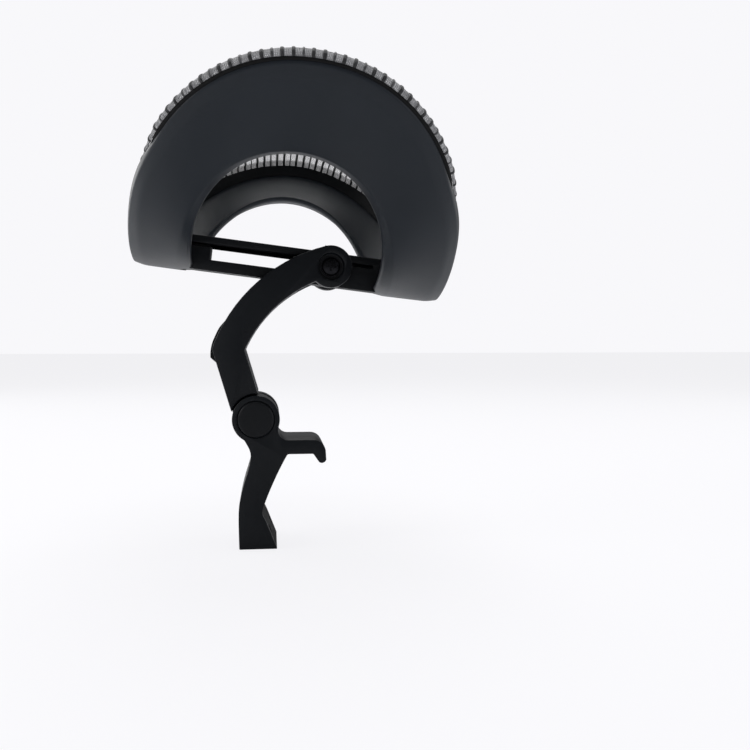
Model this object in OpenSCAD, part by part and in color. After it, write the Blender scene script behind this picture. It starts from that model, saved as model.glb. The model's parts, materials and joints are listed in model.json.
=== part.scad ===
// Headrest attachment for an office chair: a hook bracket, a forked arm with a friction hinge,
// and a mesh headrest on a slotted rail. +X is the front of the chair, +Y runs along the headrest's
// width and +Z is up. The origin is the middle of the seat face under the hook.

/* [Clamp bracket] */
// Width of the hook and the leg
hook_w = 50; // [44:1:70]
// Thickness of the hook over its seat
hook_t = 9; // [7:0.5:14]
// Flat seat in front of the origin
seat_front = 8.5; // [6:0.5:30]
// Flat seat behind the origin
seat_back = 7.5; // [6:0.5:12]
// Drop of the hook's lip below its seat
lip_drop = 6; // [4:0.5:12]
// Length of the leg below the seat
leg_len = 61; // [52:1:110]
// Radius of the screw holes through the leg
leg_hole_r = 2.75; // [1.5:0.25:3.5]
// Distance between the two screw holes
leg_hole_pitch = 30; // [20:1:34]
// Thickness of the rubber pads
pad_t = 1.5; // [1:0.25:2.5]

/* [Lower hinge] */
// Hinge axis behind the origin
hinge_back = 28; // [26:0.5:32]
// Hinge axis above the hook's seat
hinge_up = 22.5; // [22:0.5:32]
// Radius of the two hinge ears
ear_r = 15.2; // [14.5:0.1:16]
// Radius of the round hinge caps
cap_r = 11.6; // [10.5:0.1:12]
// Radius of the hinge bolt
hinge_bolt_r = 4; // [3:0.5:4.5]
// Wall of the knuckle bushes
bush_wall = 1.5; // [1:0.25:2]
// Half width of the knuckle between the ears
knuckle_half = 9.9; // [8:0.1:11]

/* [Arm] */
// Overall width of the fork
fork_w = 44.4; // [42:0.2:50]
// Distance from the hinge axis to the tilt pivot, along X
arm_dx = 48.5; // [42:0.5:56]
// Distance from the hinge axis to the tilt pivot, along Z
arm_dz = 97.9; // [92:0.5:110]
// Width of the arm seen from the side
arm_w = 19.5; // [17:0.5:22]
// Middle radius of the arm's bow
bow_r = 95.6; // [92:0.2:102]
// Radius of the pivot boss
boss_r = 13.5; // [12.5:0.1:15]
// Radius of the recess round the pivot bolt's head
recess_r = 8.6; // [7.5:0.1:9.5]
// Depth of that recess
recess_deep = 5; // [4:0.5:7]

/* [Tilt pivot] */
// Radius of the pivot bolt
pivot_bolt_r = 3; // [2.5:0.25:3.25]
// Radius of the pivot bolt's head
pivot_head_r = 6; // [5:0.1:7]
// Radius of the friction washers
washer_r = 11; // [9:0.5:12.5]
// Thickness of the friction washers
washer_t = 1.5; // [1:0.1:2]
// Length of the slide block
block_len = 16; // [12:0.5:20]

/* [Rail] */
// Width of the rail between the fork's prongs
rail_w = 18; // [14:0.5:20]
// Height of the rail
rail_h = 22; // [20:0.5:26]
// Height of the rail's slot
slot_h = 10; // [10:0.5:12]
// Bar left under the slot
lower_bar = 7; // [5:0.5:9]
// Slot length towards the headrest's lower edge
slot_front = 38; // [37:0.5:50]
// Slot length towards the headrest's upper edge
slot_rear = 52; // [40:0.5:54]
// Length of the rail over its ends
rail_len = 168; // [160:1:172]

/* [Headrest] */
// Width of the headrest across its rim
head_w = 298; // [260:2:340]
// Chord of the rim, from edge to edge
head_chord = 197; // [190:1:204]
// Height of the rim's arch over its chord
head_deep = 102; // [92:1:112]
// Squareness of the rim outline (2 is an ellipse)
rim_square = 2.85; // [2.3:0.05:3.2]
// Width of the opening inside the shell
mouth_w = 176; // [150:1:190]
// Chord of the opening
mouth_chord = 117; // [112:1:122]
// Height of the opening's arch
mouth_deep = 65.8; // [60:0.1:74]
// Squareness of the opening
mouth_square = 4.5; // [3:0.1:5]
// How far the opening sits towards the headrest's upper edge
mouth_shift = 3.3; // [0:0.1:5]
// Wall of the rear shell
shell_wall = 2.6; // [2:0.1:3]
// Crown of the shell's outer face
shell_crown = 6; // [4.5:0.1:7]
// How far the shell's edge stands out round the mesh at the two tips
shell_wrap = 3.6; // [2:0.1:4]
// Height of the mesh over the shell's edge, at the sides
rim_side = 5.4; // [4:0.1:7]
// The same height at the two tips
rim_tip = 2.6; // [2.4:0.1:4.5]
// Thickness of the mesh
mesh_t = 0.8; // [0.6:0.1:1.2]
// Tilt of the headrest, front end down
head_tilt = 7; // [0:0.5:15]
// Pivot's place along the rail, from the middle of the chord
pivot_along = 25.8; // [20:0.2:30]

/* [Hidden] */
$fn = 48;
eps = 0.01;
fit = 0.05;          // running clearance on a radius
side_gap = 0.1;      // clearance between flat sides that turn past each other
cut = 1;             // how far a cutting tool stands past what it cuts

// hinge and arm
hinge = [-hinge_back, hinge_up];
pivot = hinge + [arm_dx, arm_dz];
fork_half = fork_w / 2;
bush_flange = 1;
ear_in = knuckle_half + bush_flange + 2 * side_gap;
ear_out = hook_w / 2;
knuckle_r = ear_r - 0.5;
end_gap = 1;
lean_room = 7;       // the rear wall is cut this far under the axis, so that the arm can lean back
bush_or = hinge_bolt_r + fit + bush_wall;
cap_t = 3.6;
cap_seat = ear_out - 2;
cap_round = 1.7;
head_deep_in = 5.5;
hinge_head_r = hinge_bolt_r + 2.5;
nut_r = hinge_bolt_r * 1.85;
hex = 6;
fork_in = rail_w / 2 + washer_t + 2 * side_gap;
recess_y = -(fork_half - recess_deep);
pivot_nut_r = pivot_bolt_r * 1.93;
pivot_nut_t = 5;
plain_t = 1;
plain_r = pivot_head_r + 0.8;

// headrest frame: u runs along the chord, y across, v away from the chord
rail_v0 = 0.7;       // underside of the rail above the chord
slot_v = rail_v0 + lower_bar + slot_h / 2;
head_u = [cos(head_tilt), -sin(head_tilt)];
head_v = [sin(head_tilt), cos(head_tilt)];
head_org = pivot - head_u * pivot_along - head_v * slot_v;
rim_a = head_w / 2;
rim_b = head_chord / 2;
mouth_a = mouth_w / 2;
mouth_b = mouth_chord / 2;
seat_in = mouth_b - 5;
seat_out = rail_len / 2 + 0.5;
screw_u = [rail_len / 2 - 14, rail_len / 2 - 5];
screw_r = 1.75;
tab_in = rail_len / 2 - 18;   // the rail's ends step up from here on, over the pads in the shell
tab_v = 3;
screw_head_r = 3.4;
tilt_back = 10;      // the headrest tips back this far before the rail would meet the arm
stations = 96;
wrap_from = 0.8;     // share of the half chord past which the shell's edge turns up
groove_up = 1.6;     // the mesh's edge over the shell's edge
mesh_gap = 0.4;
mesh_roll = 5;       // the mesh turns down to its groove over this width
mesh_rows = 52;
mesh_cols = 10;

// ---- helpers -------------------------------------------------------------------------------
// a side profile in X and Z, drawn out along Y from y0 to y1
module across(y0, y1) {
    translate([0, y1, 0]) rotate([90, 0, 0]) linear_extrude(y1 - y0) children();
}
// a round bar along Y about the point p = [x, z]
module y_bar(p, r, y0, y1, sides = 48) {
    translate([p[0], y1, p[1]]) rotate([90, 0, 0]) cylinder(r = r, h = y1 - y0, $fn = sides);
}
module in_headrest() {
    translate([head_org[0], 0, head_org[1]]) rotate([0, head_tilt, 0]) children();
}
// points of an arc about c
function arc(c, r, from, to, steps = 10) =
    [for (i = [0:steps]) c + r * [cos(from + (to - from) * i / steps), sin(from + (to - from) * i / steps)]];
// a smooth curve through the points p, with a few points on each span
function spline(p, steps = 4) = let (n = len(p) - 1) concat([for (i = [0:n - 1], k = [0:steps - 1])
    let (t = k / steps, a = p[max(i - 1, 0)], b = p[i], c = p[i + 1], d = p[min(i + 2, n)])
    0.5 * (2 * b + (c - a) * t + (2 * a - 5 * b + 4 * c - d) * t * t + (3 * b - a - 3 * c + d) * t * t * t)],
    [p[n]]);
function unit(v) = v / norm(v);

// ---- clamp bracket ---------------------------------------------------------------------------
lip_r = 3;           // round underside of the lip
lip_reach = 5.5;     // how far its middle stands past the seat
nose_r = hook_t - 0.9;
pad_low = 2;         // the leg's pad starts this far above its end
pad_long = 27;       // and runs this far up
hole_up = 11;        // screw holes above the leg's end
head_sink = 5;       // depth of the seats for the screws' heads
function rear_edge() = spline([hinge + ear_r * [cos(200), sin(200)], [-hinge_back - 7, 8.5],
    [-hinge_back - 3.4, -2.5], [-hinge_back - 9, -23], [-hinge_back - 11.3, -37], [-hinge_back - 11, -leg_len]]);
function front_edge() = spline([[-seat_back - 7.3, -leg_len], [-seat_back - 14, -44], [-seat_back - 16.6, -37.5],
    [-seat_back - 14, -28.5], [-seat_back - 7.5, -13.5], [-seat_back - 1.6, -2], [-seat_back, 0]]);
function hook_end() = concat([[seat_front, 0]],
    arc([seat_front + lip_reach, lip_r - lip_drop], lip_r, 235, 345, 7),
    arc([seat_front, hook_t - nose_r], nose_r, 0, 90, 8));
// fillet between the hook's top and the ear
fillet_r = 6.5;
fillet_c = [hinge[0] + sqrt(pow(ear_r + fillet_r, 2) - pow(hinge[1] - hook_t - fillet_r, 2)), hook_t + fillet_r];
fillet_a = atan2(hinge[1] - fillet_c[1], hinge[0] - fillet_c[0]);

module bracket_outline() {
    polygon(concat(rear_edge(), front_edge(), hook_end(),
        arc(fillet_c, fillet_r, 270, fillet_a < 0 ? fillet_a + 360 : fillet_a, 6), [hinge]));
    translate(hinge) circle(r = ear_r, $fn = 96);
}
module hook_pad_outline() {
    intersection() {
        bracket_outline();
        translate([-seat_back, 0]) square([seat_back + seat_front, pad_t]);
    }
}
// the strip of the leg's front face that the lower pad covers
module leg_pad_outline() {
    intersection() {
        difference() {
            bracket_outline();
            translate([-pad_t, 0]) bracket_outline();
        }
        translate([-hinge_back, -leg_len + pad_low]) square([hinge_back, pad_long]);
    }
}
module leg_hole_at(y) {
    back = hinge_back + 11;
    translate([-back - cut, y, -leg_len + hole_up]) rotate([0, 90, 0]) cylinder(r = leg_hole_r, h = back + cut);
    translate([-back - cut, y, -leg_len + hole_up]) rotate([0, 90, 0])
        cylinder(r = leg_hole_r + 2.5, h = head_sink + cut);
}
module clamp_bracket() {
    color("#202124") difference() {
        union() {
            across(-hook_w / 2, hook_w / 2) difference() {
                bracket_outline();
                translate(hinge) square([4 * ear_r, 2 * (hinge_up - hook_t)], center = true);
            }
            across(-ear_out, ear_out) bracket_outline();
        }
        // room for the arm's knuckle between the ears
        y_bar(hinge, knuckle_r + end_gap, -ear_in, ear_in, 96);
        translate([hinge[0] - 2 * ear_r, -ear_in, hinge[1] - lean_room]) cube([2 * ear_r, 2 * ear_in, 2 * ear_r]);
        translate([hinge[0] - eps, -ear_in, hinge[1] - 3]) cube([2 * ear_r, 2 * ear_in, 2 * ear_r]);
        // bolt, head, nut and cap recesses
        y_bar(hinge, hinge_bolt_r + fit, -hook_w, hook_w);
        y_bar(hinge, hinge_head_r + 0.3, -hook_w, -cap_seat + head_deep_in);
        y_bar(hinge, nut_r + 0.2, cap_seat - head_deep_in, hook_w, hex);
        for (s = [-1, 1]) y_bar(hinge, cap_r + 0.2, min(s * cap_seat, s * hook_w), max(s * cap_seat, s * hook_w), 96);
        // seats of the two rubber pads
        across(-hook_w / 2 + 3, hook_w / 2 - 3) hook_pad_outline();
        across(-hook_w / 2 + 3, hook_w / 2 - 3) leg_pad_outline();
        for (y = [-0.5, 0.5] * leg_hole_pitch) leg_hole_at(y);
    }
}
module hook_pad() {
    color("#2b2c2e") across(-hook_w / 2 + 3.1, hook_w / 2 - 3.1) hook_pad_outline();
}
module leg_pad() {
    color("#2b2c2e") difference() {
        across(-hook_w / 2 + 3.1, hook_w / 2 - 3.1) leg_pad_outline();
        for (y = [-0.5, 0.5] * leg_hole_pitch) leg_hole_at(y);
    }
}

// ---- lower hinge -----------------------------------------------------------------------------
module hinge_bolt() {
    head_t = 5;
    color("#5d6166") difference() {
        union() {
            y_bar(hinge, hinge_bolt_r, -cap_seat + head_deep_in - eps, cap_seat - 0.3);
            y_bar(hinge, hinge_head_r, -cap_seat + head_deep_in - head_t, -cap_seat + head_deep_in);
        }
        y_bar(hinge, hinge_bolt_r * 0.72, -hook_w, -cap_seat + head_deep_in - head_t + 2.6, hex);
    }
}
module hinge_nut() {
    nut_t = 4.8;
    color("#5d6166") difference() {
        y_bar(hinge, nut_r, cap_seat - head_deep_in, cap_seat - head_deep_in + nut_t, hex);
        y_bar(hinge, hinge_bolt_r + fit / 2, 0, hook_w);
    }
}
// a plain round cover with a soft edge and a clip ring behind it
module hinge_cap() {
    rotate_extrude($fn = 96) polygon(concat([[0, 0], [cap_r - 0.4, 0], [cap_r, 0.4]],
        arc([cap_r - cap_round, cap_t - cap_round], cap_round, 0, 80, 6), [[cap_r * 0.6, cap_t + 0.15], [0, cap_t + 0.3]]));
}
module near_hinge_cap() {
    color("#26272a") translate([hinge[0], -cap_seat, hinge[1]]) rotate([90, 0, 0]) hinge_cap();
}
module far_hinge_cap() {
    color("#26272a") translate([hinge[0], cap_seat, hinge[1]]) rotate([-90, 0, 0]) hinge_cap();
}
module knuckle_bush(side) {
    difference() {
        union() {
            y_bar(hinge, bush_or, min(side * 0.5, side * (knuckle_half + eps)), max(side * 0.5, side * (knuckle_half + eps)));
            y_bar(hinge, knuckle_r - 4, min(side * knuckle_half, side * (knuckle_half + bush_flange)),
                max(side * knuckle_half, side * (knuckle_half + bush_flange)));
        }
        y_bar(hinge, hinge_bolt_r + fit, -hook_w, hook_w);
    }
}
module knuckle_bushes() {
    color("#c9c6bd") for (side = [-1, 1]) knuckle_bush(side);
}

// ---- arm -------------------------------------------------------------------------------------
// the bow's centre lies bow_r from the elbow and a little less from the pivot
bow_sink = 3.8;
bow_to_pivot = 104.4;
bow_c = pivot - (bow_r - bow_sink) * [cos(bow_to_pivot), sin(bow_to_pivot)];
elbow_a = 158;
elbow = bow_c + bow_r * [cos(elbow_a), sin(elbow_a)];
cover_t = 3;
bar_back = 4;        // the straight bar's middle line passes this far behind the hinge axis
cover_end = elbow_a + 5.4;
cavity_span = 11;    // degrees of the bow that the channel takes
cavity_a = elbow_a - cavity_span;
cavity_half = 13;

// a band of the bow between two radii and two angles
module bow_band(r0, r1, a0, a1) {
    polygon(concat(arc(bow_c, r1, a0, a1, 14), arc(bow_c, r0, a1, a0, 14)));
}
module lower_bar_outline(half) {
    foot = hinge - [bar_back, 0];
    along = unit(foot - elbow);
    side = half * [along[1], -along[0]];
    polygon([elbow + side, foot + side, foot - side, elbow - side]);
}
module arm_outline(grow = 0) {
    bow_band(bow_r - arm_w / 2 - grow, bow_r + arm_w / 2 + grow, bow_to_pivot, elbow_a);
    translate(elbow) circle(r = arm_w / 2 + grow - eps, $fn = 96);
    lower_bar_outline(arm_w / 2 + grow - 2 * eps);
}
// gap between the prongs: clear of the rail's lower edge at the headrest's back stop
module fork_gap_outline() {
    translate(pivot) {
        circle(r = boss_r + cut, $fn = 96);
        rotate(tilt_back - head_tilt) translate([-120, -(slot_v - rail_v0) - 2]) square([160, 60]);
    }
}
module arm_fork() {
    color("#222326") difference() {
        union() {
            difference() {
                across(-fork_half, fork_half) arm_outline();
                // concave ends round the two ears
                for (s = [-1, 1]) translate([0, s * (knuckle_half + fork_half) / 2, 0])
                    y_bar(hinge, ear_r + end_gap, -(fork_half - knuckle_half) / 2 - (s < 0 ? cut : 0),
                        (fork_half - knuckle_half) / 2 + (s > 0 ? cut : 0), 96);
            }
            y_bar(pivot, boss_r, -fork_half, fork_half, 96);
            across(-knuckle_half, knuckle_half) {
                translate(hinge) circle(r = knuckle_r, $fn = 96);
                lower_bar_outline(knuckle_r - 5);
            }
        }
        across(-fork_in, fork_in) fork_gap_outline();
        // channel behind the bow, closed by the spine cover
        across(-cavity_half, cavity_half) bow_band(bow_r - arm_w / 2 + 4, bow_r + arm_w, cavity_a, elbow_a - 1);
        y_bar(pivot, pivot_bolt_r + fit, -fork_w, fork_w);
        y_bar(pivot, recess_r, -fork_w, recess_y, 64);
        y_bar(pivot, pivot_nut_r + 0.15, fork_half - pivot_nut_t - 1, fork_w, hex);
        y_bar(hinge, bush_or + fit / 2, -fork_w, fork_w);
    }
}
// curved cover that closes the channel and stands a little proud at the elbow
module arm_spine_cover() {
    outer = bow_r + arm_w / 2;
    color("#1b1c1e") across(-cavity_half + side_gap, cavity_half - side_gap) {
        bow_band(outer - cover_t, outer, cavity_a + 0.3, elbow_a - 1.3);
        // proud strip, solid down to the arm past the elbow
        bow_band(outer - cover_t, outer + 1.6, elbow_a - 5, elbow_a - 1.3);
        difference() {
            bow_band(bow_r, outer + 1.6, elbow_a - 1.5, cover_end);
            arm_outline(side_gap);
        }
    }
}

// ---- tilt pivot --------------------------------------------------------------------------------
module pivot_bolt() {
    head_t = 3.4;
    seat = recess_y - plain_t;
    color("#2a2b2d") difference() {
        union() {
            y_bar(pivot, pivot_bolt_r, seat - eps, fork_half - 0.6);
            translate([pivot[0], seat, pivot[1]]) rotate([90, 0, 0]) rotate_extrude($fn = 64)
                polygon(concat([[0, 0], [pivot_head_r, 0], [pivot_head_r, head_t * 0.35]],
                    arc([0, -pivot_head_r * 1.1], pivot_head_r * 1.1 + head_t, 60, 90, 5)));
        }
        // cross recess
        translate([pivot[0], seat - head_t - cut, pivot[1]]) for (turn = [8, 98]) rotate([0, turn, 0])
            translate([-2.9, 0, -0.65]) cube([5.8, 2.6 + cut - 0.6, 1.3]);
    }
}
module pivot_washer() {
    color("#5d6166") difference() {
        y_bar(pivot, plain_r, recess_y - plain_t, recess_y);
        y_bar(pivot, pivot_bolt_r + 0.2, -fork_w, fork_w);
    }
}
module pivot_nut() {
    color("#5d6166") difference() {
        y_bar(pivot, pivot_nut_r, fork_half - pivot_nut_t - 1, fork_half - 1, hex);
        y_bar(pivot, pivot_bolt_r + fit / 2, 0, fork_w);
    }
}
module friction_washers() {
    color("#8d8a83") for (s = [-1, 1]) difference() {
        y_bar(pivot, washer_r, min(s * (fork_in - side_gap), s * (rail_w / 2 + side_gap)),
            max(s * (fork_in - side_gap), s * (rail_w / 2 + side_gap)), 64);
        y_bar(pivot, pivot_bolt_r + 0.1, -fork_w, fork_w);
    }
}
module slide_block() {
    color("#d8d5cc") difference() {
        in_headrest() translate([pivot_along - block_len / 2, -rail_w / 2, slot_v - slot_h / 2 + side_gap])
            cube([block_len, rail_w, slot_h - 2 * side_gap]);
        y_bar(pivot, pivot_bolt_r + 1, -rail_w, rail_w);
    }
}
module pivot_bush() {
    color("#b58d4b") difference() {
        y_bar(pivot, pivot_bolt_r + 1 - fit / 2, -rail_w / 2, rail_w / 2);
        y_bar(pivot, pivot_bolt_r + fit, -rail_w, rail_w);
    }
}

// ---- rail ---------------------------------------------------------------------------------------
module slotted_rail() {
    groove_r = 1.2;
    groove_deep = 1.4;
    groove_v = slot_v + slot_h / 2 - 0.9;
    color("#1d1e20") in_headrest() difference() {
        translate([-rail_len / 2, -rail_w / 2, rail_v0]) cube([rail_len, rail_w, rail_h]);
        // ends stepped up over the shell's pads
        for (s = [-1, 1]) translate([s > 0 ? tab_in - side_gap : -rail_len / 2 - cut, -rail_w, rail_v0 - cut])
            cube([rail_len / 2 - tab_in + side_gap + cut, 2 * rail_w, tab_v - rail_v0 + cut]);
        // lowered shoulders where the ends pass into the shell
        for (s = [-1, 1]) translate([s > 0 ? rail_len / 2 - 19 : -rail_len / 2 - cut, -rail_w, rail_v0 + rail_h - 8])
            cube([19 + cut, 2 * rail_w, 20]);
        translate([-slot_rear, -rail_w, slot_v - slot_h / 2]) cube([slot_rear + slot_front, 2 * rail_w, slot_h]);
        // guide grooves with round ends on both sides
        for (s = [-1, 1]) translate([0, s * rail_w / 2, groove_v]) {
            translate([-slot_rear - 12, -groove_deep, -groove_r])
                cube([slot_rear + slot_front + 27, 2 * groove_deep, 2 * groove_r]);
            for (u = [-slot_rear - 12, slot_front + 15]) translate([u, 0, 0]) rotate([90, 0, 0])
                cylinder(r = groove_r, h = 2 * groove_deep, center = true);
        }
        for (s = [-1, 1], u = screw_u) translate([s * u, 0, tab_v - cut])
            cylinder(r = screw_r, h = 8 + cut);
    }
}
module rail_screws() {
    color("#5d6166") in_headrest() for (s = [-1, 1], u = screw_u) translate([s * u, 0, 0]) difference() {
        union() {
            translate([0, 0, screw_seat - 1]) cylinder(r = screw_r - fit, h = tab_v + 7 - screw_seat);
            translate([0, 0, screw_seat - 1.6]) cylinder(r = screw_head_r - 0.2, h = 1.6);
        }
        for (turn = [0, 90]) rotate([0, 0, turn]) translate([-1.8, -0.4, screw_seat - 2]) cube([3.6, 0.8, 1.4]);
    }
}

// ---- headrest ring --------------------------------------------------------------------------------
// a rounded rectangle of half sizes a and b, bent over an arch of height c; q turns once round it
function loop_point(q, a, b, c, n) =
    let (k = pow(pow(abs(cos(q)), n) + pow(abs(sin(q)), n), -1 / n), s = k * sin(q))
    [b * s, -a * k * cos(q), c * sqrt(max(0, 1 - s * s))];
function rim_point(q) = loop_point(q, rim_a, rim_b, head_deep, rim_square);
function mouth_point(q) = loop_point(q, mouth_a, mouth_b, mouth_deep, mouth_square) - [mouth_shift, 0, 0];
// local directions at q: across the shell from rim to mouth, and out of its face
function along_loop(q) = unit(rim_point(q + 1) + mouth_point(q + 1) - rim_point(q - 1) - mouth_point(q - 1));
function inward(q) = unit(mouth_point(q) - rim_point(q));
function outward(q) = unit(cross(inward(q), along_loop(q)));
function shell_reach(q) = norm(mouth_point(q) - rim_point(q));
function shell_point(q, w, n) = rim_point(q) + w * inward(q) + n * outward(q);
// directions on the arch: out of the mesh surface, and towards the rim within it
function arch_normal(q) = let (p = rim_point(q)) unit([p[0] / pow(rim_b, 2), 0, max(p[2], 0.01) / pow(head_deep, 2)]);
function rim_tangent(q) = unit(rim_point(q + 1) - rim_point(q - 1));
function rim_side_dir(q) = unit(cross(rim_tangent(q), arch_normal(q)));
function edge_point(q, out, up) = rim_point(q) + out * rim_side_dir(q) + up * arch_normal(q);
function rim_height(q) = let (f = pow(rim_point(q)[0] / rim_b, 2)) rim_tip * f + rim_side * (1 - f);

// a closed ring through one section per station
function ring_faces(rows, n) = [for (i = [0:rows - 1], k = [0:n - 1])
    let (j = (i + 1) % rows, m = (k + 1) % n) each [[i * n + k, j * n + k, j * n + m], [i * n + k, j * n + m, i * n + m]]];
module ring(sections) {
    polyhedron(points = [for (s = sections) each s], faces = ring_faces(len(sections), len(sections[0])), convexity = 8);
}

screw_seat = 1.1;    // seats of the rail screws' heads, from the chord
function crown_at(q) = shell_crown * (0.1 + 0.9 * abs(cos(q)));
function smooth(t) = let (x = min(1, max(0, t))) x * x * (3 - 2 * x);
// towards the tips the shell's edge turns up round the mesh
function wrap_at(q, from = wrap_from) = shell_wrap * smooth((abs(rim_point(q)[0]) / rim_b - from) / (0.97 - wrap_from));
// the mesh, its cord and its ring draw inwards a little sooner than that
function tuck_at(q) = wrap_at(q, wrap_from - 0.035);
// one section: edge, chamfer, crowned face, bevelled lip at the mouth, then back along the inside
function shell_section(q) = let (w = shell_reach(q), c = crown_at(q), t = shell_wall, g = wrap_at(q),
    lip = 0.92 * c - 1 - 3.6 * abs(cos(q))) [
    for (p = [[1.2 - 1.33 * g, -1.6 - 1.4 * g], [1.2 - 1.33 * g, 0.5 - 1.5 * g], [2.2 - 1.1 * g, 0.5 + c * 0.24 - 0.5 * g],
        [8 - 0.8 * g, c * 0.88], [0.32 * w, c], [0.55 * w, c * 1.04], [w - 12, c * 0.96],
        [w - 9.5, c * 0.92], [w - 2.2, lip], [w - 0.7, lip - 1.8], [w - 0.3, -3.6], [w - t - 0.3, -3.6],
        [w - t - 0.9, lip - 2.4], [w - 6.5, (lip + c * 0.92) / 2 - t], [w - 10.5, c * 0.92 - t], [0.55 * w, c * 1.04 - t],
        [0.32 * w, c - t], [9, c * 0.82 - t], [5 - 0.9 * g, -0.6 - 0.5 * g], [4 - 1.33 * g, -1.6 - 1.4 * g]])
        shell_point(q, p[0], p[1])];
module rear_shell() {
    color("#2c2f33") in_headrest() difference() {
        union() {
            ring([for (i = [0:stations - 1]) shell_section(360 * i / stations)]);
            // pads under the rail's ends
            for (s = [-1, 1]) translate([s > 0 ? tab_in : -seat_out, -rail_w / 2, -0.3])
                cube([seat_out - tab_in, rail_w, tab_v + 0.3]);
        }
        // flat seats for the rail's ends
        for (s = [-1, 1]) translate([s > 0 ? seat_in - 8 : -tab_in, -rail_w / 2 - 5, rail_v0])
            cube([tab_in - seat_in + 8, rail_w + 10, 20]);
        for (s = [-1, 1]) translate([s > 0 ? tab_in - eps : -seat_out, -rail_w / 2 - 5, tab_v])
            cube([seat_out - tab_in + eps, rail_w + 10, 20]);
        for (s = [-1, 1], u = screw_u) translate([s * u, 0, -20]) {
            cylinder(r = screw_r + 0.4, h = 40);
            cylinder(r = screw_head_r, h = 20 + screw_seat);
        }
    }
}
// ring inside the shell's edge, which keeps the mesh's edge in its groove
function frame_section(q) = let (c = crown_at(q), t = shell_wall, g = tuck_at(q), top = 0.9 - 0.28 * g, out = -4.8 - 0.7 * g) [
    edge_point(q, out, top - 0.9), shell_point(q, 7.2, c * 0.82 - t - 1.55), shell_point(q, 10.4, c * 0.82 - t - 0.3),
    edge_point(q, -9.5 - 0.5 * g, top - 0.9), edge_point(q, -9.5 - 0.5 * g, top), edge_point(q, out, top)];
module mesh_frame() {
    color("#232427") in_headrest() difference() {
        ring([for (i = [0:stations - 1]) frame_section(360 * i / stations)]);
        // a long rail's ends reach into the ring, which leaves them room
        for (s = [-1, 1]) translate([s > 0 ? tab_in : -seat_out, -rail_w / 2 - side_gap, rail_v0])
            cube([seat_out - tab_in, rail_w + 2 * side_gap, rail_h]);
    }
}
module mesh_spline() {
    spline_r = 0.55;
    color("#111214") in_headrest() ring([for (i = [0:stations - 1]) let (q = 360 * i / stations, g = tuck_at(q))
        [for (a = [300:-60:0]) edge_point(q, -0.6 - 1.9 * g + spline_r * cos(a), 0.95 - 0.11 * g + spline_r * sin(a))]]);
}
// the mesh: one line across for each angle q, up from the near edge, straight over and down to the far one
function cloth_edge(q, turn, lift) = let (g = tuck_at(q), low = groove_up + 0.17 * g, top = rim_height(q) + mesh_gap)
    edge_point(q, -2.15 * g - mesh_roll * (1 - cos(turn)) + lift * cos(turn), low + (top - low + lift) * sin(turn));
function cloth_line(q, lift) = concat([for (turn = [0:22.5:90]) cloth_edge(q, turn, lift)],
    [(cloth_edge(q, 90, lift) + cloth_edge(180 - q, 90, lift)) / 2],
    [for (turn = [90:-22.5:0]) cloth_edge(180 - q, turn, lift)]);
function mesh_grid(lift) = [for (i = [0:mesh_rows]) each cloth_line(89.6 * (2 * i / mesh_rows - 1), lift)];
module mesh_panel() {
    n = mesh_cols + 1;
    top = (mesh_rows + 1) * n;
    low_faces = [for (i = [0:mesh_rows - 1], j = [0:mesh_cols - 1]) let (k = i * n + j)
        each [[k, k + n, k + 1], [k + 1, k + n, k + n + 1]]];
    high_faces = [for (f = low_faces) [f[2] + top, f[1] + top, f[0] + top]];
    side_faces = concat(
        [for (i = [0:mesh_rows - 1]) let (k = i * n) each [[k, k + top, k + n], [k + n, k + top, k + n + top]]],
        [for (i = [0:mesh_rows - 1]) let (k = i * n + mesh_cols) each [[k + n, k + top, k], [k + n + top, k + top, k + n]]],
        [for (j = [0:mesh_cols - 1]) each [[j + 1, j + top, j], [j + 1 + top, j + top, j + 1]]],
        [for (j = [0:mesh_cols - 1]) let (k = mesh_rows * n + j) each [[k, k + top, k + 1], [k + 1, k + top, k + 1 + top]]]);
    color("#8b8d90") in_headrest()
        polyhedron(points = concat(mesh_grid(0), mesh_grid(mesh_t)), faces = concat(low_faces, high_faces, side_faces), convexity = 6);
}

clamp_bracket();
hook_pad();
leg_pad();
hinge_bolt();
hinge_nut();
near_hinge_cap();
far_hinge_cap();
arm_fork();
arm_spine_cover();
knuckle_bushes();
pivot_bolt();
pivot_washer();
pivot_nut();
friction_washers();
slide_block();
pivot_bush();
slotted_rail();
rail_screws();
rear_shell();
mesh_frame();
mesh_spline();
mesh_panel();
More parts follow.
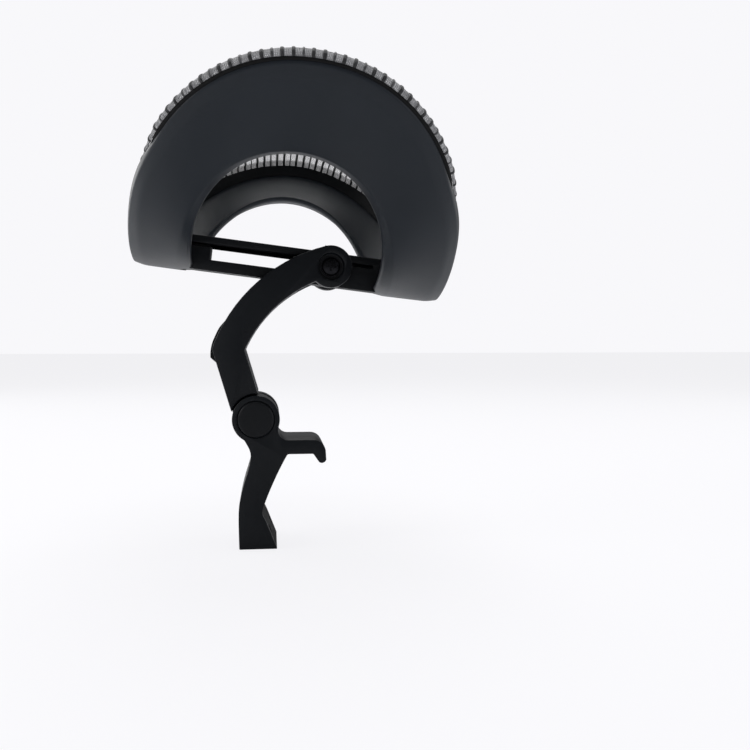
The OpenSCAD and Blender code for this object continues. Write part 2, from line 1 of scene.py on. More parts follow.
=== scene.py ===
import bpy
import bmesh
import json
import math
import numpy as np
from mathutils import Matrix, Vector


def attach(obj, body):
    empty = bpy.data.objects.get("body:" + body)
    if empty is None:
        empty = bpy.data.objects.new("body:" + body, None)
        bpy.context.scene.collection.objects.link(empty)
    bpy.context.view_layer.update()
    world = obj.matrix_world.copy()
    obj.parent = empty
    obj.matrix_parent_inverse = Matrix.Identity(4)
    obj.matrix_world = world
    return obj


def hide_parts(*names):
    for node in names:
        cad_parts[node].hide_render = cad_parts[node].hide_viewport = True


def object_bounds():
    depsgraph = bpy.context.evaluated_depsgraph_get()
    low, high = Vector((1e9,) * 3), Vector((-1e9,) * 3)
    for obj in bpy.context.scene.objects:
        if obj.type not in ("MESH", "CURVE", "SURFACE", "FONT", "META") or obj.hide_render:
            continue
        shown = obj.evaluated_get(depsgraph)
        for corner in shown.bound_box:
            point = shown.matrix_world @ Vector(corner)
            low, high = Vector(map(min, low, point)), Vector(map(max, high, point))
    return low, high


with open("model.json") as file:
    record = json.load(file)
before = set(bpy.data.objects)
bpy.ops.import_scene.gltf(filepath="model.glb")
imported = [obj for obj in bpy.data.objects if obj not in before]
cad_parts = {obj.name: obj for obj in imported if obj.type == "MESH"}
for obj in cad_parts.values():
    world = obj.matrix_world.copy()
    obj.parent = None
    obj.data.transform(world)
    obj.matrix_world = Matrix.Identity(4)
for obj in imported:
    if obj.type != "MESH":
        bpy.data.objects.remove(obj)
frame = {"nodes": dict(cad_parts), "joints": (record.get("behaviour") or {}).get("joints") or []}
cadLow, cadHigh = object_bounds()
mm = 0.001

tiltJoint = next(joint for joint in frame["joints"] if joint["name"] == "headrest_tilt")
pivotX, _, pivotZ = np.array(tiltJoint["pos_m"]) / mm


def addObject(name, data):
    thing = bpy.data.objects.new(name, data)
    bpy.context.scene.collection.objects.link(thing)
    return thing


# points in mm in the object's frame, quads as rows of four; edges sharper than the angle stay sharp
def makeMesh(name, points, quads, smoothAngle=35, **maps):
    mesh = bpy.data.meshes.new(name)
    mesh.vertices.add(len(points))
    mesh.vertices.foreach_set("co", (points * mm).astype(np.float32).ravel())
    mesh.loops.add(quads.size)
    mesh.loops.foreach_set("vertex_index", quads.astype(np.int32).ravel())
    mesh.polygons.add(len(quads))
    mesh.polygons.foreach_set("loop_start", np.arange(0, quads.size, 4, dtype=np.int32))
    for mapName, uv in maps.items():
        layer = mesh.uv_layers.new(name=mapName)
        layer.data.foreach_set("uv", uv[quads.ravel()].astype(np.float32).ravel())
    mesh.update(calc_edges=True)
    mesh.validate()
    mesh.shade_smooth()
    mesh.set_sharp_from_angle(angle=math.radians(smoothAngle))
    return addObject(name, mesh)


# quads between the neighbours of a grid, whose rows or columns may close on themselves
def gridQuads(rows, columns, closeRows=False, closeColumns=False, flip=False):
    lastRow, lastColumn = rows - (not closeRows), columns - (not closeColumns)
    i, j = np.meshgrid(np.arange(lastRow), np.arange(lastColumn), indexing="ij")
    down, right = (i + 1) % rows, (j + 1) % columns
    corners = [i * columns + j, down * columns + j, down * columns + right, i * columns + right]
    quads = np.stack(corners, -1).reshape(-1, 4)
    return quads[:, ::-1] if flip else quads


def unit(v):  # each vector over its own length
    return v / np.linalg.norm(v, axis=-1, keepdims=True)


# each corner of an outline becomes a parabola between points a given reach along its two sides
def roundCorners(outline, reach, steps=5, sideShare=0.45):
    before, after = np.roll(outline, 1, axis=-2) - outline, np.roll(outline, -1, axis=-2) - outline
    shorter = np.minimum(np.linalg.norm(before, axis=-1), np.linalg.norm(after, axis=-1))
    reach = np.minimum(reach, sideShare * shorter)[..., None]
    first, last = outline + unit(before) * reach, outline + unit(after) * reach
    first, corner, last = first[..., None, :], outline[..., None, :], last[..., None, :]
    t = np.linspace(0, 1, steps)[:, None]
    curve = first * (1 - t) ** 2 + corner * 2 * t * (1 - t) + last * t ** 2
    return curve.reshape(*outline.shape[:-2], -1, outline.shape[-1])


# an oval tube along each row of centre points: centre + halfWidth * cos(turn) * sideways
# + halfHeight * sin(turn) * upward, with strips across the ring at both ends
def tubes(name, centres, sideways, upward, halfWidth, halfHeight, around=8, smoothAngle=60):
    count, along, _ = centres.shape
    turn = np.arange(around) / around * 2 * np.pi
    section = halfWidth * np.cos(turn)[:, None] * sideways[:, :, None, :]
    section = section + halfHeight * np.sin(turn)[:, None] * upward[:, :, None, :]
    points = (centres[:, :, None, :] + section).reshape(-1, 3)
    one = gridQuads(along, around, closeColumns=True)
    half = np.arange(around // 2 - 1)
    cap = np.stack([half, half + 1, around - 2 - half, around - 1 - half], -1)
    one = np.concatenate([one, cap, cap[:, ::-1] + (along - 1) * around])
    quads = (one[None] + (np.arange(count) * along * around)[:, None, None]).reshape(-1, 4)
    return makeMesh(name, points, quads, smoothAngle)


class Wire:  # one output socket; arithmetic on it adds Math nodes
    def __init__(self, nodes, socket):
        self.nodes, self.socket = nodes, socket

    def join(self, operation, *values):
        return self.nodes.add("ShaderNodeMath", dict(operation=operation), *values)

    def __add__(self, other):
        return self.join("ADD", self, other)

    def __sub__(self, other):
        return self.join("SUBTRACT", self, other)

    def __rsub__(self, other):
        return self.join("SUBTRACT", other, self)

    def __mul__(self, other):
        return self.join("MULTIPLY", self, other)

    def __truediv__(self, other):
        return self.join("DIVIDE", self, other)

    def __gt__(self, other):
        return self.join("GREATER_THAN", self, other)

    __radd__ = __add__
    __rmul__ = __mul__

    def most(self, other):
        return self.join("MAXIMUM", self, other)

    def clamp(self):
        return self.join("MINIMUM", self.most(0.0), 1.0)

    def sine(self):
        return self.join("SINE", self)


class Nodes:  # adds a node of a kind: its settings first, then the values or links of its sockets
    def __init__(self, tree):
        self.tree = tree

    def add(self, kind, settings, *values, out=0, **named):
        node = self.tree.nodes.new(kind)
        for key, value in settings.items():
            setattr(node, key, value)
        sockets = dict(enumerate(values))
        sockets.update({label.replace("_", " "): value for label, value in named.items()})
        for key, value in sockets.items():
            if isinstance(value, Wire):
                self.tree.links.new(value.socket, node.inputs[key])
            else:
                node.inputs[key].default_value = value
        return Wire(self, node.outputs[out])


class Finish(Nodes):  # one material; fixed numbers go straight to its Principled shader's sockets
    def __init__(self, name, color, roughness, **fixed):
        self.material = bpy.data.materials.new(name)
        self.material.use_nodes = True
        super().__init__(self.material.node_tree)
        self.shader = self.tree.nodes["Principled BSDF"]
        self.shader.inputs["Base Color"].default_value = (*color, 1)
        self.shader.inputs["Roughness"].default_value = roughness
        for label, value in fixed.items():
            self.shader.inputs[label.replace("_", " ")].default_value = value

    def feed(self, label, wire):
        self.tree.links.new(wire.socket, self.shader.inputs[label])

    def place(self):
        return self.add("ShaderNodeTexCoord", {}, out="Object")

    def noise(self, size, detail=2.0, where=None):  # size is a feature's size in metres
        where = where or self.place()
        return self.add("ShaderNodeTexNoise", {}, Vector=where, Scale=1 / size, Detail=detail)

    def tint(self, amount, low, high):  # a colour between low and high
        mix = dict(data_type="RGBA")
        return self.add("ShaderNodeMix", mix, amount, A=(*low, 1), B=(*high, 1), out=2)

    def bump(self, height, depth):
        normal = self.add("ShaderNodeBump", {}, Height=height, Distance=depth, Strength=1.0)
        self.feed("Normal", normal)


def shade(color, factor):
    return tuple(channel * factor for channel in color)


plastics = {  # grain and depth are the size and height of the skin's grain in metres
    "slateShell": dict(color=(0.0140, 0.0180, 0.0240), roughness=0.40, grain=0.0006,
                       depth=0.00004, Specular_IOR_Level=0.24),
    "satinBlack": dict(color=(0.0036, 0.0050, 0.0072), roughness=0.44, Specular_IOR_Level=0.22),
    "matteBlack": dict(color=(0.0034, 0.0044, 0.0060), roughness=0.5, grain=0.0007,
                       Specular_IOR_Level=0.22),
    "padRubber": dict(color=(0.006, 0.006, 0.0065), roughness=0.8, grain=0.0009,
                      depth=0.00006, Specular_IOR_Level=0.2),
    "paleNylon": dict(color=(0.6, 0.58, 0.52), roughness=0.5),
}
plasticSkin = dict(cloud=0.03, darker=0.88, lighter=1.14, glossSpread=0.06, coarser=3.1,
                   coarseShare=0.5)


# an even, finely eroded skin with slow changes of gloss and a little colour variation
def mouldedPlastic(name, color, roughness, grain=0.0005, depth=0.00003, **fixed):
    finish = Finish(name, color, roughness, **fixed)
    cloud = finish.noise(plasticSkin["cloud"], 3.0)
    dark, light = shade(color, plasticSkin["darker"]), shade(color, plasticSkin["lighter"])
    finish.feed("Base Color", finish.tint(cloud, dark, light))
    spread = plasticSkin["glossSpread"]
    finish.feed("Roughness", roughness - spread + cloud * (2 * spread))
    coarse = finish.noise(grain * plasticSkin["coarser"], 1.0) * plasticSkin["coarseShare"]
    finish.bump(finish.noise(grain, 3.0) + coarse, depth)
    return finish


metals = {
    "zincSteel": dict(color=(0.5, 0.5, 0.52), roughness=0.34),
    "blackSteel": dict(color=(0.02, 0.02, 0.023), roughness=0.4),
    "bronze": dict(color=(0.52, 0.34, 0.13), roughness=0.36),
}
scratches = dict(size=0.0003, stretch=(1.0, 0.08, 1.0), glossSpread=0.1, depth=0.00001)


def brushedMetal(name, color, roughness):  # fine scratches in short strokes along the width
    finish = Finish(name, color, roughness, Metallic=1.0)
    where = finish.add("ShaderNodeMapping", {}, Vector=finish.place(), Scale=scratches["stretch"])
    strokes = finish.noise(scratches["size"], 4.0, where)
    spread = scratches["glossSpread"]
    finish.feed("Roughness", roughness - spread + strokes * (2 * spread))
    finish.bump(strokes, scratches["depth"])
    return finish


weave = dict(color=(0.36, 0.36, 0.37), darker=(0.32, 0.32, 0.33), lighter=(0.40, 0.40, 0.41),
             roughness=0.75, specular=0.2, pitch=0.0009, bare=0.60, depth=0.0001, cloud=0.02,
             hemWidth=0.006, hemFade=0.005, hemCloser=0.95)  # lengths in metres


# crossing threads on the cloth's own map in metres: the alpha is 1 where the sine of either way
# over the pitch passes the bare level, and that level falls along the hem
def weaveFinish():
    finish = Finish("paleWeave", weave["color"], weave["roughness"],
                    Specular_IOR_Level=weave["specular"])
    where = finish.add("ShaderNodeUVMap", dict(uv_map="cloth"))
    across, along = (finish.add("ShaderNodeSeparateXYZ", {}, where, out=way) for way in (0, 1))
    edgeMap = finish.add("ShaderNodeUVMap", dict(uv_map="edge"))
    fromEdge = finish.add("ShaderNodeSeparateXYZ", {}, edgeMap, out=0)
    turns = 2 * math.pi / weave["pitch"]
    waveAcross, waveAlong = (across * turns).sine(), (along * turns).sine()
    hem = (1.0 - (fromEdge - weave["hemWidth"]) / weave["hemFade"]).clamp()
    bare = weave["bare"] - hem * weave["hemCloser"]
    finish.feed("Alpha", (waveAcross > bare).most(waveAlong > bare))
    cloud = finish.noise(weave["cloud"], 2.0)
    finish.feed("Base Color", finish.tint(cloud, weave["darker"], weave["lighter"]))
    finish.bump(waveAcross + waveAlong, weave["depth"])
    return finish


yarns = {
    "darkRib": dict(color=(0.02, 0.02, 0.022), roughness=0.75),
    "greyThread": dict(color=(0.07, 0.07, 0.074), roughness=0.7),
}
twist = dict(scale=420.0, waver=1.5, darker=0.7, lighter=1.25, depth=0.00012, sheen=0.3)


def yarnFinish(name, color, roughness):  # fine twist lines across each rib
    finish = Finish(name, color, roughness, Sheen_Weight=twist["sheen"])
    lines = finish.add("ShaderNodeTexWave", dict(bands_direction="Y"), Vector=finish.place(),
                       Scale=twist["scale"], Distortion=twist["waver"])
    dark, light = shade(color, twist["darker"]), shade(color, twist["lighter"])
    finish.feed("Base Color", finish.tint(lines, dark, light))
    finish.bump(lines, twist["depth"])
    return finish


finishes = {name: mouldedPlastic(name, **look) for name, look in plastics.items()}
finishes.update({name: brushedMetal(name, **look) for name, look in metals.items()})
finishes["paleWeave"] = weaveFinish()
finishes.update({name: yarnFinish(name, **look) for name, look in yarns.items()})
print("finishes:", len(finishes))


def paint(piece, finishName):
    piece.data.materials.clear()
    piece.data.materials.append(finishes[finishName].material)


def dress(piece, finishName, body, slotName, *nodes):
    paint(piece, finishName)
    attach(piece, body)
    if nodes:
        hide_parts(*nodes)
    return piece


# the headrest's ring in mm, between its rim and the mouth that opens behind it
ring = dict(halfWidth=149, halfChord=98.5, arch=102, square=2.85,
            mouthHalfWidth=88, mouthHalfChord=58.5, mouthArch=65.8, mouthSquare=4.5, mouthShift=3.3,
            rimSide=5.8, rimTip=3.0, grooveUp=1.6,
            wrap=3.6, wrapFrom=0.8, wrapFull=0.97, tuckLead=0.035,
            tilt=7, pivotAlong=25.8, slotUp=12.7, stations=420, fineSteps=6001)
tiltCos, tiltSin = math.cos(math.radians(ring["tilt"])), math.sin(math.radians(ring["tilt"]))
degree = math.radians(1)


def toObject(p):  # from the ring's own chord, width and arch directions to the object's frame
    along, up = p[..., 0] - ring["pivotAlong"], p[..., 2] - ring["slotUp"]
    x, z = pivotX + along * tiltCos + up * tiltSin, pivotZ - along * tiltSin + up * tiltCos
    return np.stack([x, p[..., 1], z], -1)


def turnOnly(v):  # a direction turned as toObject turns points
    return toObject(v) - toObject(np.zeros(3))


# a rounded rectangle |y/a|^n + |x/b|^n = 1 at the angle q, bent over an ellipse of height c
def loopPoint(q, a, b, c, n):
    k = (np.abs(np.cos(q)) ** n + np.abs(np.sin(q)) ** n) ** (-1 / n)
    s = k * np.sin(q)
    return np.stack([b * s, -a * k * np.cos(q), c * np.sqrt(np.clip(1 - s * s, 0, None))], -1)


def rimPoint(q):
    return loopPoint(q, ring["halfWidth"], ring["halfChord"], ring["arch"], ring["square"])


def mouthPoint(q):  # the mouth's loop, set back along the chord
    mouth = loopPoint(q, ring["mouthHalfWidth"], ring["mouthHalfChord"], ring["mouthArch"],
                      ring["mouthSquare"])
    return mouth - [ring["mouthShift"], 0, 0]


def inward(q):  # from the rim to the mouth
    return unit(mouthPoint(q) - rimPoint(q))


def outward(q):  # square to the shell's face, away from the head
    ahead, behind = q + degree, q - degree
    along = unit(rimPoint(ahead) + mouthPoint(ahead) - rimPoint(behind) - mouthPoint(behind))
    return unit(np.cross(inward(q), along))


def shellPoint(q, w, n):  # rim + w * inward + n * outward
    side, face = inward(q)[:, None], outward(q)[:, None]
    return rimPoint(q)[:, None] + w[..., None] * side + n[..., None] * face


def archNormal(q):  # the gradient of the rim's elliptic arch, (x / b^2, 0, z / c^2)
    p = rimPoint(q)
    along, up = p[:, 0] / ring["halfChord"] ** 2, np.maximum(p[:, 2], 0.01) / ring["arch"] ** 2
    return unit(np.stack([along, 0 * q, up], -1))


def edgePoint(q, out, up):  # rim + out * (past the rim within the arch) + up * (out of the mesh)
    normal = archNormal(q)
    side = unit(np.cross(unit(rimPoint(q + degree) - rimPoint(q - degree)), normal))
    return rimPoint(q)[:, None] + out[..., None] * side[:, None] + up[..., None] * normal[:, None]


def rimHeight(q):  # the mesh's height over the rim, from the sides to the tips by the chord squared
    f = (rimPoint(q)[:, 0] / ring["halfChord"]) ** 2
    return ring["rimTip"] * f + ring["rimSide"] * (1 - f)


def smoothStep(t):  # 3 t^2 - 2 t^3 between 0 and 1
    t = np.clip(t, 0, 1)
    return t * t * (3 - 2 * t)


def wrapAt(q, lead=0.0):  # near the two tips the shell's edge turns up round the mesh by this much
    reach = np.abs(rimPoint(q)[:, 0]) / ring["halfChord"] - ring["wrapFrom"] + lead
    return ring["wrap"] * smoothStep(reach / (ring["wrapFull"] - ring["wrapFrom"]))


def tuckAt(q):  # the mesh, its cord and its ring draw inwards a little sooner
    return wrapAt(q, ring["tuckLead"])


def lengthsAlong(points):  # the length travelled at each point of a line
    steps = np.linalg.norm(np.diff(points, axis=-2), axis=-1)
    return np.concatenate([np.zeros((*steps.shape[:-1], 1)), np.cumsum(steps, -1)], -1)


def evenAngles(count, start=-np.pi / 2, end=1.5 * np.pi):  # they divide the rim evenly by length
    fine = np.linspace(start, end, ring["fineSteps"])
    travelled = lengthsAlong(rimPoint(fine))
    return np.interp(np.linspace(0, travelled[-1], count), travelled, fine)


def byColumn(rows):  # a table's columns, where each number is one value or one for each station
    return [np.stack(np.broadcast_arrays(*column), -1) for column in zip(*rows)]


stationAngles = evenAngles(ring["stations"] + 1)[:-1]
shell = dict(wall=2.6, crown=6, crownTip=0.1)


def crownAt(q):  # the swell of the shell's face, full at the sides and least at the tips
    return shell["crown"] * (shell["crownTip"] + (1 - shell["crownTip"]) * np.abs(np.cos(q)))


# the closed section runs from the groove over the chamfer, the crowned face and the bevelled lip,
# and back inside at the wall's thickness: across the face from the rim, out of it, corner's reach
def buildShell():
    q = stationAngles
    w = np.linalg.norm(mouthPoint(q) - rimPoint(q), axis=1)
    c, t, g = crownAt(q), shell["wall"], wrapAt(q)
    face = 0.92 * c
    lip = face - 1 - 3.6 * np.abs(np.cos(q))
    across, up, reach = byColumn([
        (1.2 - 1.33 * g, -1.6 - 1.4 * g, 0.4),  # outer edge
        (1.2 - 1.33 * g, 0.5 - 1.5 * g, 0.7),
        (2.2 - 1.1 * g, 0.5 + 0.24 * c - 0.5 * g, 1.0),
        (8 - 0.8 * g, 0.88 * c, 2.6),  # face
        (0.32 * w, c, 9),
        (0.55 * w, 1.04 * c, 9),
        (w - 12, 0.96 * c, 3),
        (w - 9.5, face, 1.6),  # bevel and lip
        (w - 2.2, lip, 1.0),
        (w - 0.7, lip - 1.8, 0.8),
        (w - 0.3, -3.6, 0.9),
        (w - t - 0.3, -3.6, 0.9),
        (w - t - 0.9, lip - 2.4, 0.8),
        (w - 6.5, (lip + face) / 2 - t, 1.5),
        (w - 10.5, face - t, 2),  # inside
        (0.55 * w, 1.04 * c - t, 6),
        (0.32 * w, c - t, 6),
        (9, 0.82 * c - t, 1.5),
        (5 - 0.9 * g, -0.6 - 0.5 * g, 0.8),  # groove
        (4 - 1.33 * g, -1.6 - 1.4 * g, 0.4),
    ])
    outline = roundCorners(np.stack([across, up], -1), reach)
    points = toObject(shellPoint(q, outline[..., 0], outline[..., 1]))
    quads = gridQuads(*points.shape[:2], closeRows=True, closeColumns=True)
    piece = makeMesh("bandShell", points.reshape(-1, 3), quads, 28)
    return dress(piece, "slateShell", "headrest", "slate_grey", "rear_shell")


bandShell = buildShell()
print("band shell:", len(bandShell.data.polygons), "faces")

stretch = dict(top=0.9, topFall=0.28, out=4.8, outMore=0.7, inner=9.5, innerMore=0.5, thick=0.9,
               seatFrom=7.2, seatTo=10.4, seatLow=1.55, seatHigh=0.3)


# a ring of six-cornered section: two corners on the shell's inside, four under the mesh's edge
def buildFrame():
    q = stationAngles
    inside, g = 0.82 * crownAt(q) - shell["wall"], tuckAt(q)
    top = stretch["top"] - stretch["topFall"] * g
    out = -stretch["out"] - stretch["outMore"] * g
    inner = -stretch["inner"] - stretch["innerMore"] * g
    low = top - stretch["thick"]
    seat = shellPoint(q, *byColumn([(stretch["seatFrom"], inside - stretch["seatLow"]),
                                    (stretch["seatTo"], inside - stretch["seatHigh"])]))
    rest = edgePoint(q, *byColumn([(inner, low), (inner, top), (out, top), (out, low)]))
    points = toObject(np.concatenate([seat, rest], 1))
    quads = gridQuads(*points.shape[:2], closeRows=True, closeColumns=True)
    piece = makeMesh("stretchRing", points.reshape(-1, 3), quads, 40)
    return dress(piece, "matteBlack", "headrest", "matte_black", "mesh_frame")


stretchRing = buildFrame()
print("ring under the mesh:", len(stretchRing.data.polygons), "faces")

cloth = dict(roll=5.0, rollFrom=-12, liftOver=0.6, tuckIn=2.15, tuckUp=0.17, lift=0.4,
             tipAngle=89, rows=260, across=64, rollSteps=10)


# one line across the mesh at the rim angle q: a quarter ellipse up the near rim, straight over,
# and a quarter ellipse down the far rim
def clothLines(q, lift, steps, across):
    near, far = q, np.pi - q
    turn = np.linspace(math.radians(cloth["rollFrom"]), np.pi / 2, steps)
    tuck, height = tuckAt(q)[:, None], rimHeight(q)[:, None]
    low = ring["grooveUp"] + cloth["tuckUp"] * tuck
    lifted = lift * np.clip((turn - turn[0]) / cloth["liftOver"], 0, 1)
    out = -cloth["tuckIn"] * tuck - cloth["roll"] * (1 - np.cos(turn)) + lifted * np.cos(turn)
    up = low + (height - low + lifted) * np.sin(turn)
    first, last = edgePoint(near, out, up), edgePoint(far, out, up)[:, ::-1]
    share = np.linspace(0, 1, across + 2)[1:-1, None]
    middle = first[:, -1:] * (1 - share) + last[:, :1] * share
    return np.concatenate([first, middle, last], 1)


def halfRimAngles(count):  # from the upper tip to the lower one on the near side, even by length
    return evenAngles(count, -cloth["tipAngle"] * degree, cloth["tipAngle"] * degree)


def archTravel(q):  # length along the arch at the middle of the line at q
    return lengthsAlong(clothLines(q, 0.0, 3, 1)[:, 3])


# the map "cloth" is the way across from the middle and along the arch, "edge" the way from the hem
def buildCloth():
    q = halfRimAngles(cloth["rows"])
    points = clothLines(q, cloth["lift"], cloth["rollSteps"], cloth["across"])
    travel, run = archTravel(q), lengthsAlong(points)
    fromEdge = np.minimum(run, run[:, -1:] - run)
    edge = np.stack([fromEdge, 0 * fromEdge], -1).reshape(-1, 2) * mm
    run = run - run[:, -1:] / 2
    uv = np.stack(np.broadcast_arrays(run, travel[:, None]), -1).reshape(-1, 2) * mm
    quads = gridQuads(*points.shape[:2])
    piece = makeMesh("meshSheet", toObject(points).reshape(-1, 3), quads, 60, cloth=uv, edge=edge)
    flatWidth = float(run[:, -1].max() * 2 * mm)
    flatLength = float((travel[-1] + 2 * cloth["roll"]) * mm)
    area = float(sum(polygon.area for polygon in piece.data.polygons))
    flat = (round(flatWidth, 4), "x", round(flatLength, 4), "m, area", round(area, 4))
    print("mesh sheet, flat:", *flat)
    dress(piece, "paleWeave", "headrest", "grey_mesh", "mesh_panel")
    return piece, (flatWidth, flatLength), area


meshSheet, flatSize, flatArea = buildCloth()

ribs = dict(period=15.8, periods=12, pairGap=5.7, edgeRoom=6.0, raised=0.25, nudge=0.004,
            fineSteps=2001, rollSteps=12, across=40)
darkRib, greyThread = dict(width=1.9, height=0.8), dict(width=1.2, height=0.7)


# tubes over the mesh along the lines across that lie at these lengths from the arch's middle
def clothRibs(name, places, finishName, width, height):
    fine = halfRimAngles(ribs["fineSteps"])
    travel = archTravel(fine)
    places = places[np.abs(places) < travel[-1] / 2 - ribs["edgeRoom"]]
    q = np.interp(places + travel[-1] / 2, travel, fine)
    steps = ribs["rollSteps"], ribs["across"]
    centres = clothLines(q, cloth["lift"] + ribs["raised"] * height, *steps)
    ahead = clothLines(q + ribs["nudge"], cloth["lift"], *steps)
    behind = clothLines(q - ribs["nudge"], cloth["lift"], *steps)
    sideways = unit(ahead - behind)
    upward = turnOnly(unit(np.cross(unit(np.gradient(centres, axis=1)), sideways)))
    piece = tubes(name, toObject(centres), turnOnly(sideways), upward, width / 2, height / 2)
    return dress(piece, finishName, "headrest", "grey_mesh")


middles = np.arange(-ribs["periods"], ribs["periods"] + 1) * ribs["period"]
pairs = np.sort(np.concatenate([middles - ribs["pairGap"] / 2, middles + ribs["pairGap"] / 2]))
singles = middles + ribs["period"] / 2
darkRibs = clothRibs("meshRibs", pairs, "darkRib", **darkRib)
paleThreads = clothRibs("meshThreads", singles, "greyThread", **greyThread)
print("ribs:", len(darkRibs.data.polygons) + len(paleThreads.data.polygons), "faces")

cord = dict(halfWidth=0.6, halfHeight=1.2, inset=0.6, insetMore=1.9, up=0.2, upLess=0.11, around=8)


def buildCord():  # an oval ring carried along the rim in the shell's groove
    q = stationAngles
    turn = np.arange(cord["around"]) / cord["around"] * 2 * np.pi
    g = tuckAt(q)[:, None]
    out = cord["halfWidth"] * np.cos(turn) - cord["inset"] - cord["insetMore"] * g
    up = cord["halfHeight"] * np.sin(turn) + cord["up"] - cord["upLess"] * g
    points = toObject(edgePoint(q, out, up))
    quads = gridQuads(*points.shape[:2], closeRows=True, closeColumns=True, flip=True)
    piece = makeMesh("grooveCord", points.reshape(-1, 3), quads, 60)
    return dress(piece, "padRubber", "headrest", "black_rubber", "mesh_spline")


grooveCord = buildCord()
print("cord in the groove:", len(grooveCord.data.polygons), "faces")


rounding = dict(segments=2, sharperThan=32, flatWithin=0.5, mergeWithin=2e-6)  # degrees, metres


def roundEdges(piece, width):  # width in mm
    bevel = piece.modifiers.new("roundedEdges", "BEVEL")
    bevel.width = width * mm
    bevel.segments = rounding["segments"]
    bevel.limit_method = "ANGLE"
    bevel.angle_limit = math.radians(rounding["sharperThan"])
    bevel.use_clamp_overlap = False
    bevel.harden_normals = True


# a solid that keeps its own shape: its loose triangles are merged, and its edges rounded
def softEdged(node, pieceName, finishName, slotName, body, width):
    mesh = frame["nodes"][node].data.copy()
    mesh.name = pieceName
    work = bmesh.new()
    work.from_mesh(mesh)
    bmesh.ops.remove_doubles(work, verts=work.verts, dist=rounding["mergeWithin"])
    flat = math.radians(rounding["flatWithin"])
    bmesh.ops.dissolve_limit(work, angle_limit=flat, verts=work.verts, edges=work.edges)
    work.to_mesh(mesh)
    work.free()
    mesh.shade_smooth()
    piece = addObject(pieceName, mesh)
    roundEdges(piece, width)
    return dress(piece, finishName, body, slotName, node)


softEdged("clamp_bracket", "clampBody", "satinBlack", "satin_black", "clamp", 0.5)
softEdged("arm_fork", "armBody", "satinBlack", "satin_black", "arm", 0.6)
softEdged("slotted_rail", "railBar", "matteBlack", "matte_black", "headrest", 0.4)

spine = dict(centreX=43.33, centreZ=31.48, backRadius=105.35, first=147.3, last=163.2, steps=28,
             swell=1.6, swellOver=6, fallFrom=157, fall=0.055, halfWidth=12.6, edge=0.3,
             innerAngles=(165.0, 157.0, 152.0, 147.3), innerDepths=(7.0, 5.0, 3.0, 3.0))


# the cover behind the arm's bow: its radius swells out of the arm's back by a smooth step, and
# falls by a square past an angle, so it stands proud at the elbow and ends in a step
def buildSpineCover():
    angle = np.linspace(spine["first"], spine["last"], spine["steps"])
    stand = spine["swell"] * smoothStep((angle - spine["first"]) / spine["swellOver"])
    stand = stand - spine["fall"] * np.clip(angle - spine["fallFrom"], 0, None) ** 2
    turn = np.radians(np.concatenate([angle, spine["innerAngles"]]))
    radius = spine["backRadius"] + np.concatenate([stand, -np.array(spine["innerDepths"])])
    x, z = spine["centreX"] + radius * np.cos(turn), spine["centreZ"] + radius * np.sin(turn)
    count = len(turn)
    sides = [np.stack([x, 0 * x + side * spine["halfWidth"], z], -1) for side in (-1, 1)]
    ahead = np.roll(np.arange(count), -1)
    faces = [list(range(count)), list(range(2 * count - 1, count - 1, -1))]
    faces += [[i, i + count, j + count, j] for i, j in enumerate(ahead)]
    mesh = bpy.data.meshes.new("spineCover")
    mesh.from_pydata((np.concatenate(sides) * mm).tolist(), [], faces)
    work = bmesh.new()
    work.from_mesh(mesh)
    bmesh.ops.recalc_face_normals(work, faces=work.faces)
    work.to_mesh(mesh)
    work.free()
    mesh.shade_smooth()
    piece = addObject("spineCover", mesh)
    roundEdges(piece, spine["edge"])
    return dress(piece, "matteBlack", "arm", "matte_black", "arm_spine_cover")


buildSpineCover()
print("rounded solids done")

cadFinishes = {
    "hook_pad": "padRubber", "leg_pad": "padRubber", "hinge_bolt": "zincSteel",
    "hinge_nut": "zincSteel", "near_hinge_cap": "matteBlack", "far_hinge_cap": "matteBlack",
    "knuckle_bushes": "paleNylon", "pivot_bolt": "blackSteel", "pivot_washer": "blackSteel",
    "pivot_nut": "zincSteel", "friction_washers": "matteBlack", "slide_block": "matteBlack",
    "pivot_bush": "bronze", "rail_screws": "blackSteel",
}
for nodeName, finishName in cadFinishes.items():
    paint(frame["nodes"][nodeName], finishName)

studio = dict(floorDrop=0.4, floorReach=6000, paleFloor=(0.84, 0.84, 0.86), floorRoughness=0.9,
              floorSpecular=0.1, floorGlow=1.045, floorGlowShare=0.86,
              backdrop=(0.940, 0.937, 0.960), worldTint=(0.98, 0.985, 1), worldLight=0.24)


def buildFloor():  # a wide quad just under the object, which the camera sees mostly as the backdrop
    lowest, reach = cadLow.z / mm - studio["floorDrop"], studio["floorReach"]
    corners = [[x * reach, y * reach, lowest] for x, y in ((-1, -1), (1, -1), (1, 1), (-1, 1))]
    floor = makeMesh("floor", np.array(corners, float), np.array([[0, 1, 2, 3]]))
    finish = Finish("paleFloor", studio["paleFloor"], studio["floorRoughness"],
                    Specular_IOR_Level=studio["floorSpecular"])
    seen = finish.add("ShaderNodeLightPath", {}, out="Is Camera Ray")
    glow = finish.add("ShaderNodeEmission", {}, Color=(*studio["backdrop"], 1),
                      Strength=studio["floorGlow"])
    plain = Wire(finish, finish.shader.outputs[0])
    share = seen * studio["floorGlowShare"]
    surface = finish.add("ShaderNodeMixShader", {}, share, plain, glow)
    output = finish.tree.nodes["Material Output"]
    finish.tree.links.new(surface.socket, output.inputs["Surface"])
    floor.data.materials.append(finish.material)


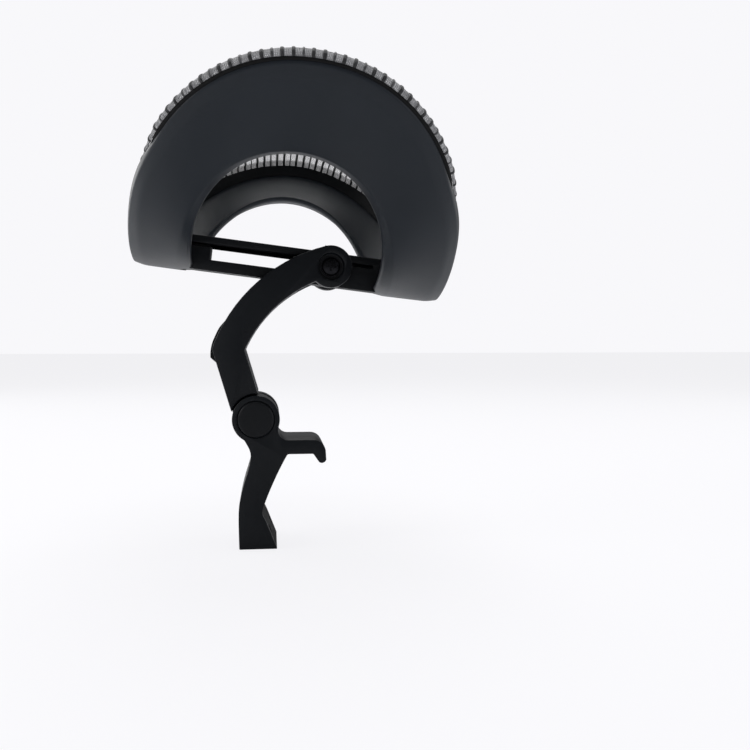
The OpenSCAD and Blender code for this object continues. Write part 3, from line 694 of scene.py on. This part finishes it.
def buildWorld():  # soft light all round, and the backdrop where the camera looks past the object
    world = bpy.data.worlds.new("paleStudio")
    bpy.context.scene.world = world
    world.use_nodes = True
    world.node_tree.nodes.clear()
    sky = Nodes(world.node_tree)
    direct = sky.add("ShaderNodeLightPath", {}, out="Is Camera Ray")
    through = sky.add("ShaderNodeLightPath", {}, out="Is Transmission Ray")
    light = sky.add("ShaderNodeBackground", {}, (*studio["worldTint"], 1), studio["worldLight"])
    back = sky.add("ShaderNodeBackground", {}, (*studio["backdrop"], 1), 1.0)
    surface = sky.add("ShaderNodeMixShader", {}, (direct + through).clamp(), light, back)
    output = sky.tree.nodes.new("ShaderNodeOutputWorld")
    sky.tree.links.new(surface.socket, output.inputs["Surface"])


buildFloor()
buildWorld()

lampAim = (0.0, 0.0, 0.12)
lamps = {  # place and size in metres, power in watts
    "keyLamp": dict(place=(-1.1, -0.25, 0.6), size=0.7, power=5),
    "topLamp": dict(place=(0.1, 0.1, 1.4), size=0.9, power=9),
    "sideLamp": dict(place=(1.0, -0.8, 0.35), size=0.8, power=2.2, color=(0.93, 0.95, 1)),
    "backLeftPanel": dict(place=(-1.25, 0.95, 0.5), size=1.2, power=9),
    "backTopPanel": dict(place=(0.1, 0.95, 1.35), size=1.1, power=8),
    "backRightPanel": dict(place=(1.5, 0.55, 0.4), size=1.0, power=5),
}


def areaLamp(name, place, size, power, color=(1, 1, 1)):
    lamp = bpy.data.lights.new(name, "AREA")
    lamp.shape, lamp.size, lamp.energy, lamp.color = "DISK", size, power, color
    holder = addObject(name, lamp)
    holder.location = place
    x, y, z = np.array(lampAim) - np.array(place)
    holder.rotation_euler = (math.atan2(math.hypot(x, y), -z), 0, math.atan2(y, x) - math.pi / 2)


for lampName, lampSettings in lamps.items():
    areaLamp(lampName, **lampSettings)

view = dict(place=(-0.01928, -0.5954, 0.07672), turn=(87.394, 0.0, -6.765), lens=42.762,
            sensor=36, nearest=0.01, farthest=50)
cameraData = bpy.data.cameras.new("camera")
cameraData.lens, cameraData.sensor_width = view["lens"], view["sensor"]
cameraData.clip_start, cameraData.clip_end = view["nearest"], view["farthest"]
camera = addObject("camera", cameraData)
camera.location = view["place"]
camera.rotation_euler = [math.radians(angle) for angle in view["turn"]]
bpy.context.scene.camera = camera
bpy.context.scene.view_settings.view_transform = "Standard"
print("studio ready")

bpy.context.view_layer.update()
